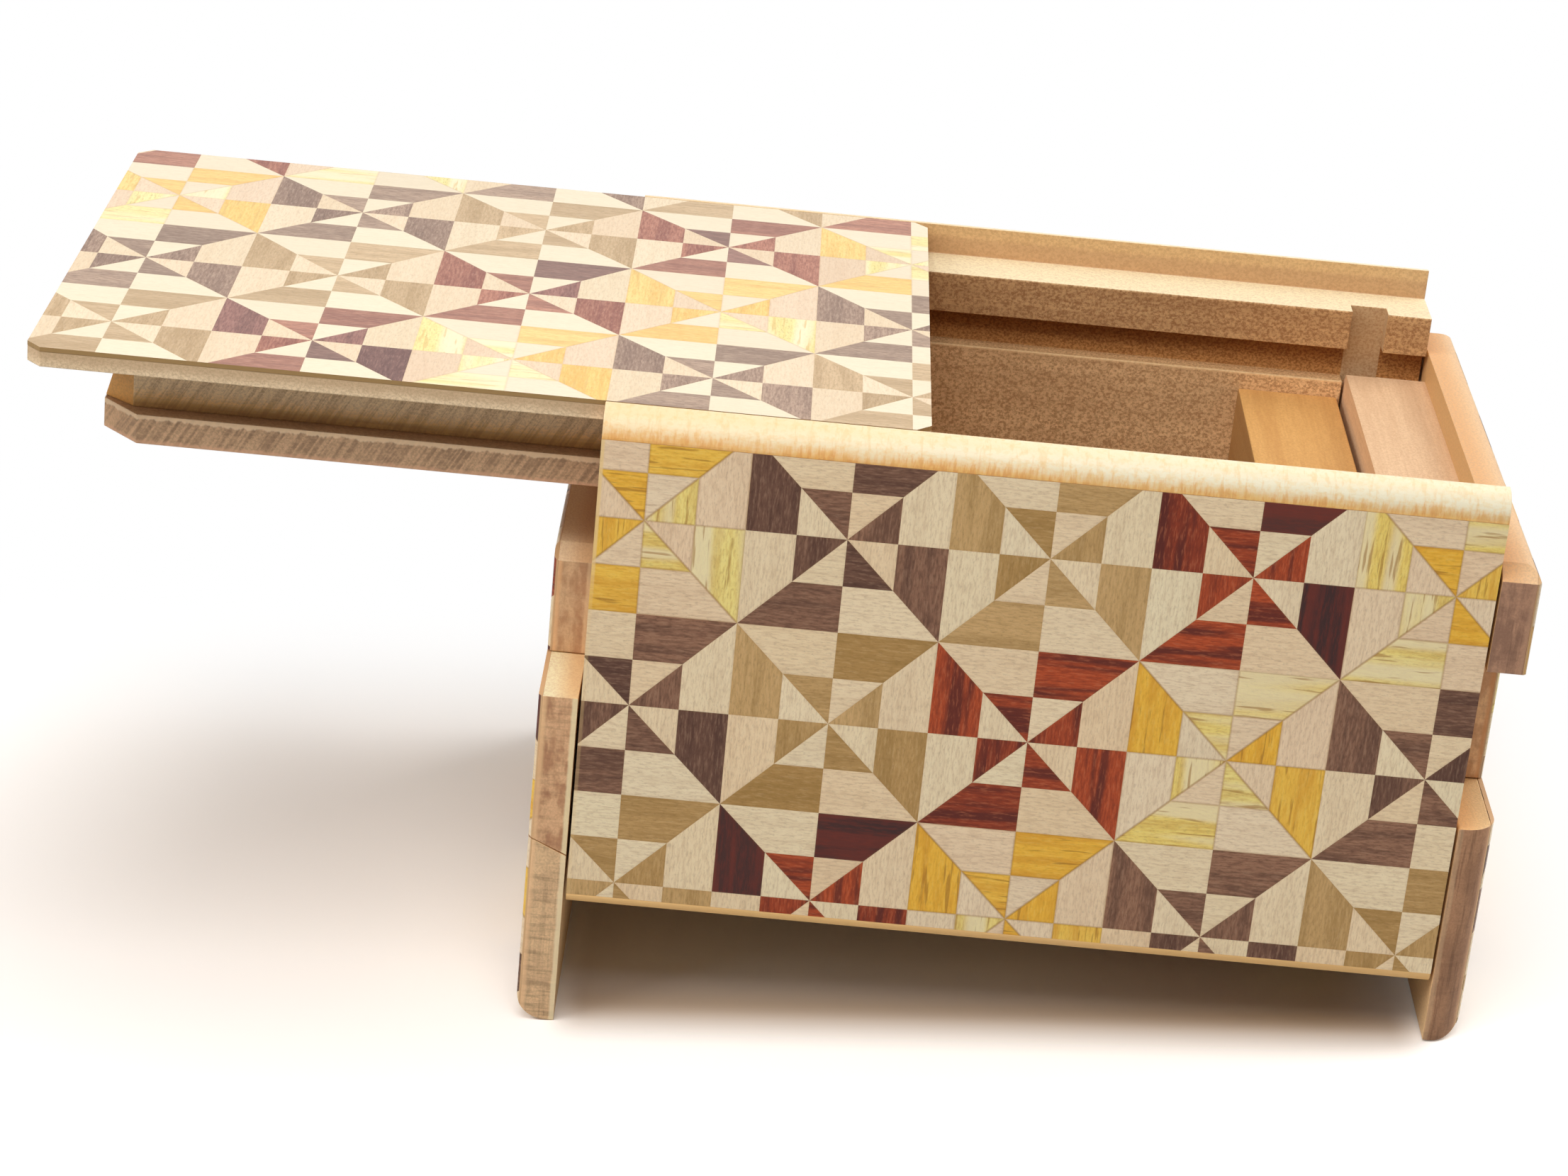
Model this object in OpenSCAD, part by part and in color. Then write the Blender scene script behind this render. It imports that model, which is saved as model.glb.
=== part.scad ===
// Wooden secret box with a sliding lid, drawn open.
// Two long walls carry the lid in grooves. Each end is closed by an end panel that
// slides up and down in the walls, and the end panels carry bars that slide to and fro.
// Origin: centre of the underside of the box. +X along the walls, +Y to the back, +Z up.

/* [Box] */
// Length of the walls and of the lid
box_l = 120; // [100:1:180]
// Depth over both walls
box_d = 96; // [80:1:140]
// Height of the walls
box_h = 73; // [64:1:100]
// Thickness of every marquetry sheet
veneer_t = 0.6; // [0.3:0.1:0.9]

/* [Walls] */
// Thickness of a wall with its marquetry
wall_t = 13; // [11:0.5:18]
// Thickness of the lip beside the lid
lip_t = 3.7; // [3:0.1:5]
// Depth of the rebate that the lid lies in
lid_rebate = 4.5; // [4:0.1:7]
// Height of the rail between the rebate and the groove
rail_h = 6.1; // [4:0.1:10]
// Height of the groove that holds the lid's runner
groove_h = 5.2; // [4:0.1:8]
// Depth of every groove in a wall
groove_depth = 3; // [2:0.1:5]
// Round along the top outer edge of a wall
top_round = 3.6; // [1:0.1:4]
// Round along the bottom outer edge of a wall
bottom_round = 1.6; // [0.5:0.1:1.6]
// Height of the bare wood above a wall's marquetry
bare_top = 4; // [4:0.1:6]
// Height of the bare wood below a wall's marquetry
bare_foot = 1.6; // [1.6:0.1:3]
// Width of the corner post outside the end panel's groove
post_w = 6.6; // [5:0.1:10]
// Width of the upright groove that holds an end panel's runner
post_groove_w = 5.4; // [4:0.1:8]

/* [Bottom and compartment] */
// Thickness of the bottom with its marquetry
bottom_t = 2.7; // [2:0.1:4]
// Thickness of the compartment's floor
floor_t = 2.5; // [1.5:0.1:5]
// Width of the fixed block at each end of the compartment
block_w = 15; // [8:0.5:22]
// Height of a block's top under the lid's groove
block_step = 2.6; // [0.5:0.1:6]
// Gap between a block and the end panel's runner
block_gap = 0.9; // [0.5:0.1:2]

/* [Lid] */
// How far the lid is drawn out to the left
lid_out = 76.8; // [0:0.1:88]
// Thickness of the lid's plate with its marquetry
lid_t = 2.8; // [2:0.1:3.6]
// Width of the lid's rim outside its guide board
lid_rim = 4.9; // [2:0.1:7]
// Cut across each corner of the plate
lid_corner = 2; // [0.5:0.1:4]
// Thickness of the lid's runner
runner_t = 4.2; // [3:0.1:4.8]
// Distance from the plate's left end to the runner
runner_inset_left = 8.7; // [6:0.1:11]
// Distance from the plate's right end to the runner
runner_inset_right = 12.3; // [12.3:0.1:20]
// Cut across each corner of the lid's runner, along the runner
runner_corner_l = 5.3; // [1:0.1:8]
// Cut across each corner of the lid's runner, across the runner
runner_corner_w = 5.3; // [1:0.1:8]
// Slope of the neck's left end
neck_slope = 1.9; // [0:0.1:3]
// Cut across each corner of the neck, along the neck
neck_corner_l = 4.4; // [3.2:0.1:8]
// Cut across each corner of the neck, across the neck
neck_corner_w = 3.4; // [1:0.1:8]

/* [End panels] */
// Gap between the bottom and the left end panel's neck and runner
carrier_foot_gap = 0.3; // [0.2:0.1:6]
// Drop from the top of the bars to the top of the neck
carrier_step = 4.3; // [2:0.1:8]
// Thickness of an end panel's runner
end_runner_t = 4.6; // [3:0.1:5]
// Thickness of the backing board behind the bars
backing_t = 2.7; // [2.4:0.1:4]
// Cut across each top corner of an end panel's runner
end_runner_corner = 3; // [1:0.1:8]
// How far the bars reach down below the backing board
backing_lift = 14; // [1:0.5:15]

/* [Bars] */
// Thickness of a bar with its marquetry
bar_t = 5.4; // [4:0.1:7]
// Gap between the walls' ends and the bars
bar_gap = 0.4; // [0.3:0.1:1]
// Height of the left upper bar
left_upper_h = 15.7; // [12:0.1:20]
// Height of the left middle bar
left_middle_h = 23.7; // [16:0.1:30]
// How much lower the left bars are together than the walls
left_short = 7.6; // [0:0.1:12]
// Height of the right upper bar
right_upper_h = 15.1; // [12:0.1:20]
// Height of the right middle bar
right_middle_h = 23.6; // [16:0.1:30]
// How much lower the right bars are together than the walls
right_short = 1.3; // [0:0.1:12]
// How far the left bars' top stands below the walls' top
left_drop = 26.1; // [16:0.1:26.1]
// How far the right bars' top stands below the walls' top
right_drop = 10.2; // [0.7:0.1:17]
// Rise of the slanting seam under the left middle bar
seam_rise = 2.4; // [0:0.1:4]
// Round along an upright outer edge of a bar
bar_edge_round = 0.8; // [0.4:0.1:3]
// Round along the upright outer edges of the right lower bar, which is worn round
worn_edge_round = 4.6; // [0.8:0.1:5]
// Round along the top outer edge of the left upper bar
left_top_round = 0.8; // [0.4:0.1:3]
// Round along the top outer edge of the right upper bar
right_top_round = 2.5; // [0.4:0.1:3]
// Slope at the top front corner of an upper bar, down
bar_top_down = 1.9; // [0.5:0.1:4]
// Slope at the top front corner of an upper bar, along
bar_top_along = 2.6; // [0.5:0.1:6]
// Round along the bottom outer edge of a lower bar
bar_bottom_round = 4; // [0.5:0.1:5]

/* [Keys] */
// Travel of the left upper bar, which stands pushed back
left_upper_travel = 14.5; // [5:0.5:22]
// Travel of the left lower bar, which stands flush
left_lower_travel = 15; // [5:0.5:22]
// Travel of the right middle bar, which stands pushed back
right_middle_travel = 16.5; // [5:0.5:22]
// Height of the stem of a key's tongue
stem_h = 3.2; // [2:0.1:5]
// Height of the head of a key's tongue
head_h = 6.2; // [5.4:0.1:7]
// Thickness of the lip that holds a tongue's head
slot_lip = 1.2; // [0.8:0.1:1.4]
// Distance from a backing board's edge to the end of a key slot
slot_end = 2.3; // [1:0.1:6]

/* [Clearances] */
// Gap at each side of a piece that slides in a groove or a rebate
slide_gap = 0.2; // [0.1:0.05:0.3]
// Gap between a bar that slides and its neighbour
key_gap = 0.2; // [0.1:0.05:0.4]
// Gap between a groove's floor and the runner in it
runner_gap = 0.4; // [0.2:0.1:0.8]

/* [Hidden] */
$fn = 64;
eps = 0.01;
over = 1;

half_l = box_l / 2;
half_d = box_d / 2;
ledge_z = box_h - lid_rebate;
groove_top = ledge_z - rail_h;
groove_z = groove_top - groove_h;
lip_in = half_d - lip_t;
wall_in = half_d - wall_t;
groove_in = wall_in + groove_depth;

veneer_low = bare_foot;
veneer_high = box_h - bare_top;

lid_top = box_h;
lid_under = lid_top - lid_t;
lid_half_w = lip_in - slide_gap;
guide_half_w = lid_half_w - lid_rim;
guide_z = ledge_z + slide_gap;
neck_half_w = wall_in - slide_gap;
lid_runner_half_w = groove_in - runner_gap;
lid_runner_top = groove_top - slide_gap;
lid_runner_z = lid_runner_top - runner_t;
lid_x0 = -half_l - lid_out;
lid_x1 = lid_x0 + box_l;
lid_runner_x0 = lid_x0 + runner_inset_left;
lid_runner_x1 = lid_x1 - runner_inset_right;
lid_neck_x0 = lid_runner_x0 + neck_slope;

groove_out = half_l - post_w;
groove_inner = groove_out - post_groove_w;
end_runner_out = groove_out - (post_groove_w - end_runner_t) / 2;
end_runner_in = end_runner_out - end_runner_t;
backing_out = half_l + bar_gap;
backing_in = backing_out - backing_t;
bar_face = backing_out + bar_t;
board_face = bar_face - veneer_t;
block_out = end_runner_in - block_gap;
block_in = block_out - block_w;
block_top = groove_z - block_step;
floor_z = bottom_t;
block_z = floor_z + floor_t;
bottom_half_l = backing_in - slide_gap;

left_top_z = box_h - left_drop;
left_middle_top = left_top_z - left_upper_h;
left_lower_top = left_middle_top - left_middle_h;
left_bottom_z = left_short - left_drop;
right_top_z = box_h - right_drop;
right_middle_top = right_top_z - right_upper_h;
right_lower_top = right_middle_top - right_middle_h;
right_bottom_z = right_short - right_drop;
left_carrier_top = left_top_z - carrier_step;
right_carrier_top = right_top_z - carrier_step;
carrier_h = left_carrier_top - bottom_t - carrier_foot_gap;

slot_half_l = neck_half_w - slot_end;
left_upper_slot_z = (left_middle_top + left_carrier_top) / 2;
left_lower_slot_z = (left_bottom_z + backing_lift + left_lower_top) / 2;
right_middle_slot_z = (right_lower_top + right_middle_top) / 2;

light_wood = "#e3bd82";
pale_wood = "#efd3a4";
brown_wood = "#b98552";
marquetry = "#c9a45c";

// A flat outline in Y and Z, carried along X from x0 to x1
module along_x(x0, x1) {
    translate([x0, 0, 0]) rotate([90, 0, 90]) linear_extrude(x1 - x0) children();
}

// A flat outline in X and Z, carried along Y from y0 to y1
module along_y(y0, y1) {
    translate([0, y1, 0]) rotate([90, 0, 0]) linear_extrude(y1 - y0) children();
}

// A flat outline in X and Y, carried up from z0 to z1
module along_z(z0, z1) {
    translate([0, 0, z0]) linear_extrude(z1 - z0) children();
}

module block(low, high) {
    translate(low) cube(high - low);
}

// What a round of radius r takes off a corner at the origin that opens to +X and +Y
module corner_waste(r) {
    difference() {
        translate([-over, -over]) square(r + over);
        translate([r, r]) circle(r);
    }
}

// A rectangle in plan with its four corners cut off
module cut_plan(x0, x1, half_w, cut_x, cut_y) {
    polygon([
        [x0 + cut_x, -half_w], [x1 - cut_x, -half_w], [x1, -half_w + cut_y],
        [x1, half_w - cut_y], [x1 - cut_x, half_w], [x0 + cut_x, half_w],
        [x0, half_w - cut_y], [x0, -half_w + cut_y]
    ]);
}

// Section of a wall: first number in from the outer face, second number up
module wall_section() {
    difference() {
        square([wall_t, box_h]);
        translate([lip_t, ledge_z]) square([wall_t, lid_rebate + over]);
        translate([wall_t - groove_depth, groove_z]) square([groove_depth + over, groove_h]);
        translate([lip_t, -over]) square([wall_t, bottom_t + over]);
        translate([-over, veneer_low]) square([veneer_t + over, veneer_high - veneer_low]);
        corner_waste(bottom_round);
        translate([0, box_h]) mirror([0, 1]) corner_waste(top_round);
    }
}

// A wall with its outer face at Y = 0 and its inside towards +Y
module wall() {
    difference() {
        along_x(-half_l, half_l) wall_section();
        for (side = [-1, 1]) {
            translate([side * (groove_out + groove_inner) / 2, wall_t, box_h / 2])
                cube([post_groove_w, 2 * groove_depth, 2 * box_h], center = true);
        }
    }
}

module wall_veneer() {
    block([-half_l, 0, veneer_low], [half_l, veneer_t, veneer_high]);
}

module front_wall() {
    color(light_wood) translate([0, -half_d, 0]) wall();
}

module back_wall() {
    color(light_wood) mirror([0, 1, 0]) translate([0, -half_d, 0]) wall();
}

module front_veneer() {
    color(marquetry) translate([0, -half_d, 0]) wall_veneer();
}

module back_veneer() {
    color(marquetry) mirror([0, 1, 0]) translate([0, -half_d, 0]) wall_veneer();
}

module bottom_board() {
    color(light_wood) block([-bottom_half_l, -lip_in, veneer_t], [bottom_half_l, lip_in, bottom_t]);
}

module bottom_veneer() {
    color(marquetry) block([-bottom_half_l, -lip_in, 0], [bottom_half_l, lip_in, veneer_t]);
}

module compartment_floor() {
    color(pale_wood) block([-block_out, -wall_in, floor_z], [block_out, wall_in, block_z]);
}

module end_block(x0) {
    color(light_wood) block([x0, -wall_in, block_z], [x0 + block_w, wall_in, block_top]);
}

module lid_veneer() {
    color(marquetry) along_z(lid_top - veneer_t, lid_top)
        cut_plan(lid_x0, lid_x1, lid_half_w, lid_corner, lid_corner);
}

module lid_board() {
    color(pale_wood) along_z(lid_under, lid_top - veneer_t)
        cut_plan(lid_x0, lid_x1, lid_half_w, lid_corner, lid_corner);
}

// Rides on the rails of both walls
module lid_guide_board() {
    color(light_wood)
        block([lid_neck_x0, -guide_half_w, guide_z], [lid_runner_x1, guide_half_w, lid_under]);
}

// Hangs between the rails, with a sloping left end and cut corners
module lid_neck() {
    color(brown_wood) intersection() {
        along_y(-neck_half_w, neck_half_w) polygon([
            [lid_runner_x0, lid_runner_top], [lid_runner_x1, lid_runner_top],
            [lid_runner_x1, guide_z], [lid_neck_x0, guide_z]
        ]);
        along_z(lid_runner_top, guide_z)
            cut_plan(lid_runner_x0, lid_runner_x1, neck_half_w, neck_corner_l, neck_corner_w);
    }
}

// Holds the lid down in the walls' grooves
module lid_runner() {
    color(brown_wood) along_z(lid_runner_z, lid_runner_top)
        cut_plan(lid_runner_x0, lid_runner_x1, lid_runner_half_w, runner_corner_l, runner_corner_w);
}

// The end panels are drawn for the right end. The left end mirrors them in X.

// Runs up and down in the upright grooves of both walls
module end_runner(top_z) {
    half_w = groove_in - runner_gap;
    along_x(end_runner_in, end_runner_out) polygon([
        [-half_w, top_z - carrier_h], [half_w, top_z - carrier_h],
        [half_w, top_z - end_runner_corner], [half_w - end_runner_corner, top_z],
        [-half_w + end_runner_corner, top_z], [-half_w, top_z - end_runner_corner]
    ]);
}

// Fills the space between the walls' corner posts
module end_neck(top_z) {
    block([end_runner_out, -neck_half_w, top_z - carrier_h], [backing_in, neck_half_w, top_z]);
}

// The slot that a key's tongue runs in, through the backing board
module key_slot(slot_z) {
    stem_half = stem_h / 2 + key_gap;
    head_half = head_h / 2 + key_gap;
    lip_x = backing_out - slot_lip;
    translate([0, 0, slot_z]) {
        block([lip_x - over, -slot_half_l, -stem_half], [backing_out + over, slot_half_l, stem_half]);
        block([backing_in - over, -slot_half_l, -head_half], [lip_x, slot_half_l, head_half]);
    }
}

// Carries the fixed bars and holds the keys' tongues
module end_backing(top_z, bottom_z, slot_z) {
    difference() {
        block([backing_in, -neck_half_w, bottom_z + backing_lift], [backing_out, neck_half_w, top_z]);
        for (z = slot_z) {
            key_slot(z);
        }
    }
}

// Outline of a bar from above, its two outer corners rounded
module bar_plan(edge_round) {
    difference() {
        translate([backing_out, -half_d]) square([bar_t, box_d]);
        for (side = [0, 1]) {
            mirror([0, side]) translate([bar_face, -half_d]) mirror([1, 0]) corner_waste(edge_round);
        }
    }
}

// A bar between two heights. The rises lift the outer edge of its underside and top.
module bar_solid(z0, z1, x0, x1, rise_low = 0, rise_high = 0) {
    share0 = (x0 - backing_out) / bar_t;
    share1 = (x1 - backing_out) / bar_t;
    along_y(-half_d - over, half_d + over) polygon([
        [x0, z0 + rise_low * share0], [x1, z0 + rise_low * share1],
        [x1, z1 + rise_high * share1], [x0, z1 + rise_high * share0]
    ]);
}

// What is cut off an upper bar: a slope at the front and back, and a round along the outer edge
module top_waste(z1, edge_round) {
    for (side = [-1, 1]) {
        along_x(half_l, bar_face + over) polygon([
            [side * (half_d - bar_top_along), z1 + eps], [side * (half_d + over), z1 + eps],
            [side * (half_d + over), z1 - bar_top_down * (bar_top_along + over) / bar_top_along]
        ]);
    }
    translate([bar_face, 0, z1]) along_y(-half_d - over, half_d + over)
        mirror([1, 0]) mirror([0, 1]) corner_waste(edge_round);
}

// What is cut off the bottom outer edge of a lower bar
module bottom_waste(z0) {
    translate([bar_face, 0, z0]) along_y(-half_d - over, half_d + over)
        mirror([1, 0]) corner_waste(bar_bottom_round);
}

// The wooden body of a bar, behind its marquetry
module bar_board(z0, z1, rise_low = 0, rise_high = 0, edge_round = bar_edge_round) {
    intersection() {
        bar_solid(z0, z1, backing_out, board_face, rise_low, rise_high);
        along_z(z0 - box_h, z1 + box_h) bar_plan(edge_round);
    }
}

// The marquetry sheet on the outer face of a bar
module bar_veneer(z0, z1, rise_low = 0, rise_high = 0, edge_round = bar_edge_round) {
    intersection() {
        bar_solid(z0, z1, board_face, bar_face, rise_low, rise_high);
        along_z(z0 - box_h, z1 + box_h) bar_plan(edge_round);
    }
}

// A key's tongue: a stem through the slot's lip and a wider head behind it.
// It lies against the slot's end at the back (side = 1) or at the front (side = -1).
module tongue(slot_z, travel, side) {
    length = 2 * slot_half_l - travel - 2 * key_gap;
    y0 = side > 0 ? slot_half_l - key_gap - length : -slot_half_l + key_gap;
    head_x = backing_out - slot_lip - key_gap / 2;
    block([head_x, y0, slot_z - stem_h / 2], [backing_out, y0 + length, slot_z + stem_h / 2]);
    block([backing_in + key_gap / 2, y0, slot_z - head_h / 2], [head_x, y0 + length, slot_z + head_h / 2]);
}

module left() {
    mirror([1, 0, 0]) children();
}

module left_runner() {
    color(brown_wood) left() end_runner(left_carrier_top);
}

module left_neck() {
    color(light_wood) left() end_neck(left_carrier_top);
}

module left_backing() {
    color(light_wood) left()
        end_backing(left_carrier_top, left_bottom_z, [left_upper_slot_z, left_lower_slot_z]);
}

module left_middle_bar() {
    color(brown_wood) left() bar_board(left_lower_top, left_middle_top, rise_low = seam_rise);
}

module left_middle_veneer() {
    color(marquetry) left() bar_veneer(left_lower_top, left_middle_top, rise_low = seam_rise);
}

module left_upper_bar() {
    color(brown_wood) left() translate([0, left_upper_travel, 0]) difference() {
        bar_board(left_middle_top + key_gap, left_top_z);
        top_waste(left_top_z, left_top_round);
    }
}

module left_upper_veneer() {
    color(marquetry) left() translate([0, left_upper_travel, 0]) difference() {
        bar_veneer(left_middle_top + key_gap, left_top_z);
        top_waste(left_top_z, left_top_round);
    }
}

module left_upper_tongue() {
    color(pale_wood) left() tongue(left_upper_slot_z, left_upper_travel, 1);
}

module left_lower_bar() {
    color(brown_wood) left() difference() {
        bar_board(left_bottom_z, left_lower_top - key_gap, rise_high = seam_rise);
        bottom_waste(left_bottom_z);
    }
}

module left_lower_veneer() {
    color(marquetry) left() difference() {
        bar_veneer(left_bottom_z, left_lower_top - key_gap, rise_high = seam_rise);
        bottom_waste(left_bottom_z);
    }
}

module left_lower_tongue() {
    color(pale_wood) left() tongue(left_lower_slot_z, left_lower_travel, -1);
}

module right_runner() {
    color(brown_wood) end_runner(right_carrier_top);
}

module right_neck() {
    color(light_wood) end_neck(right_carrier_top);
}

module right_backing() {
    color(light_wood) end_backing(right_carrier_top, right_bottom_z, [right_middle_slot_z]);
}

module right_upper_bar() {
    color(brown_wood) difference() {
        bar_board(right_middle_top, right_top_z);
        top_waste(right_top_z, right_top_round);
    }
}

module right_upper_veneer() {
    color(marquetry) difference() {
        bar_veneer(right_middle_top, right_top_z);
        top_waste(right_top_z, right_top_round);
    }
}

module right_lower_bar() {
    color(brown_wood) difference() {
        bar_board(right_bottom_z, right_lower_top, edge_round = worn_edge_round);
        bottom_waste(right_bottom_z);
    }
}

module right_lower_veneer() {
    color(marquetry) difference() {
        bar_veneer(right_bottom_z, right_lower_top, edge_round = worn_edge_round);
        bottom_waste(right_bottom_z);
    }
}

module right_middle_bar() {
    color(brown_wood) translate([0, right_middle_travel, 0])
        bar_board(right_lower_top + key_gap, right_middle_top - key_gap);
}

module right_middle_veneer() {
    color(marquetry) translate([0, right_middle_travel, 0])
        bar_veneer(right_lower_top + key_gap, right_middle_top - key_gap);
}

module right_middle_tongue() {
    color(pale_wood) tongue(right_middle_slot_z, right_middle_travel, 1);
}

front_wall();
back_wall();
front_veneer();
back_veneer();
bottom_board();
bottom_veneer();
compartment_floor();
end_block(-block_out);  // left_end_block
end_block(block_in);  // right_end_block
lid_veneer();
lid_board();
lid_guide_board();
lid_neck();
lid_runner();
left_runner();
left_neck();
left_backing();
left_middle_bar();
left_middle_veneer();
left_upper_bar();
left_upper_veneer();
left_upper_tongue();
left_lower_bar();
left_lower_veneer();
left_lower_tongue();
right_runner();
right_neck();
right_backing();
right_upper_bar();
right_upper_veneer();
right_lower_bar();
right_lower_veneer();
right_middle_bar();
right_middle_veneer();
right_middle_tongue();
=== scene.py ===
"""Looks of a wooden secret box with a marquetry skin, drawn open.

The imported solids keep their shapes. This script gives each of them its wood, eases their
arrises, and sets up the floor, the light and the camera. Lengths in the shaders are in
millimetres, and colours are written as they look on a screen.
"""

import logging
import math
from dataclasses import dataclass, replace
from enum import Enum

import bpy
from mathutils import Matrix, Vector


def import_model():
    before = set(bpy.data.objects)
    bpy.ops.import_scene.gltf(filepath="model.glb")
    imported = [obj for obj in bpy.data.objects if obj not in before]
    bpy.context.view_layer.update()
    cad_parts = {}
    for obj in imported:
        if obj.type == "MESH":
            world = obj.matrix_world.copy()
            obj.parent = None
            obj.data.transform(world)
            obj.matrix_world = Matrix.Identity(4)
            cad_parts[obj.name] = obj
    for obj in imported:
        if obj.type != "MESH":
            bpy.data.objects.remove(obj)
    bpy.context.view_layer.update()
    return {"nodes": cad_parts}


LOG = logging.getLogger("secret_box")

MM = 0.001
HALF_LENGTH = 60.0
HALF_DEPTH = 48.0
BOX_HEIGHT = 73.0
VENEER = 0.6

# The side of a star's tile, and where the borders of its inner square and of the tile
# itself lie, in tiles from its middle.
TILE = 27.05
INNER = 0.25
OUTER = 0.5
SECTORS = 8


class Axis(Enum):
    """The three directions of the box."""

    X = 0
    Y = 1
    Z = 2


class Blend(Enum):
    """How one colour is laid over another."""

    MIX = "MIX"
    MULTIPLY = "MULTIPLY"


@dataclass(frozen=True)
class Tone:
    """A colour as it looks on a screen, each part from 0 to 255."""

    red: float
    green: float
    blue: float

    def linear(self) -> tuple[float, float, float, float]:
        """Works out the colour as light.

        Returns:
            The three parts and full cover, as a shader takes them.
        """
        parts = (self.red / 255, self.green / 255, self.blue / 255)
        light = [p / 12.92 if p < 0.04045 else ((p + 0.055) / 1.055) ** 2.4 for p in parts]
        return (light[0], light[1], light[2], 1.0)

    def toward(self, other: "Tone", share: float) -> "Tone":
        """Returns the colour that lies the given share of the way to another."""
        return Tone(
            self.red + (other.red - self.red) * share,
            self.green + (other.green - self.green) * share,
            self.blue + (other.blue - self.blue) * share,
        )


class Num:
    """A number that varies over a surface, written in Python's own operators."""

    def __init__(self, shader: "Shader", socket: bpy.types.NodeSocket) -> None:
        """Keeps the shader it belongs to and the socket that carries it."""
        self.shader = shader
        self.socket = socket

    def maths(self, operation: str, *others: object, first: object = None) -> "Num":
        """Adds one Math node.

        Args:
            operation: The node's operation.
            others: What follows this number in the node.
            first: What stands before this number, for a reflected operator.

        Returns:
            The node's result.
        """
        parts = (self, *others) if first is None else (first, self)
        settings = {"operation": operation}
        made = self.shader.node("ShaderNodeMath", settings, dict(enumerate(parts)))
        return Num(self.shader, made.outputs[0])

    def __add__(self, other: object) -> "Num":
        """Returns the sum, which is the same from both sides."""
        return self.maths("ADD", other)

    __radd__ = __add__

    def __sub__(self, other: object) -> "Num":
        """Returns the difference."""
        return self.maths("SUBTRACT", other)

    def __rsub__(self, other: object) -> "Num":
        """Returns the difference, reflected."""
        return self.maths("SUBTRACT", first=other)

    def __mul__(self, other: object) -> "Num":
        """Returns the product, which is the same from both sides."""
        return self.maths("MULTIPLY", other)

    __rmul__ = __mul__

    def __abs__(self) -> "Num":
        """Returns the size without its sign."""
        return self.maths("ABSOLUTE")

    def __gt__(self, other: object) -> "Num":
        """Returns 1 where this number is the larger, else 0."""
        return self.maths("GREATER_THAN", other)

    def __lt__(self, other: object) -> "Num":
        """Returns 1 where this number is the smaller, else 0: the other's > reflected."""
        return self.maths("LESS_THAN", other)

    def floor(self) -> "Num":
        """Returns the whole number below."""
        return self.maths("FLOOR")

    def remainder(self, whole: float) -> "Num":
        """Returns what is left over whole turns, never below zero."""
        return self.maths("FLOORED_MODULO", whole)

    def least(self, other: object) -> "Num":
        """Returns the smaller of the two."""
        return self.maths("MINIMUM", other)

    def most(self, other: object) -> "Num":
        """Returns the larger of the two."""
        return self.maths("MAXIMUM", other)

    def near(self, value: float) -> "Num":
        """Returns 1 where this number is within a half of the value, else 0."""
        return self.maths("COMPARE", value, 0.5)

    def rise(self, low: float, high: float) -> "Num":
        """Takes a soft step.

        Args:
            low: Where the step leaves 0.
            high: Where it reaches 1.

        Returns:
            The step's height here.
        """
        made = self.shader.node(
            "ShaderNodeMapRange",
            {"interpolation_type": "SMOOTHSTEP"},
            {"Value": self, "From Min": low, "From Max": high},
        )
        return Num(self.shader, made.outputs[0])


Colour = Tone | bpy.types.NodeSocket
Place = tuple[Num, Num, Num]


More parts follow.
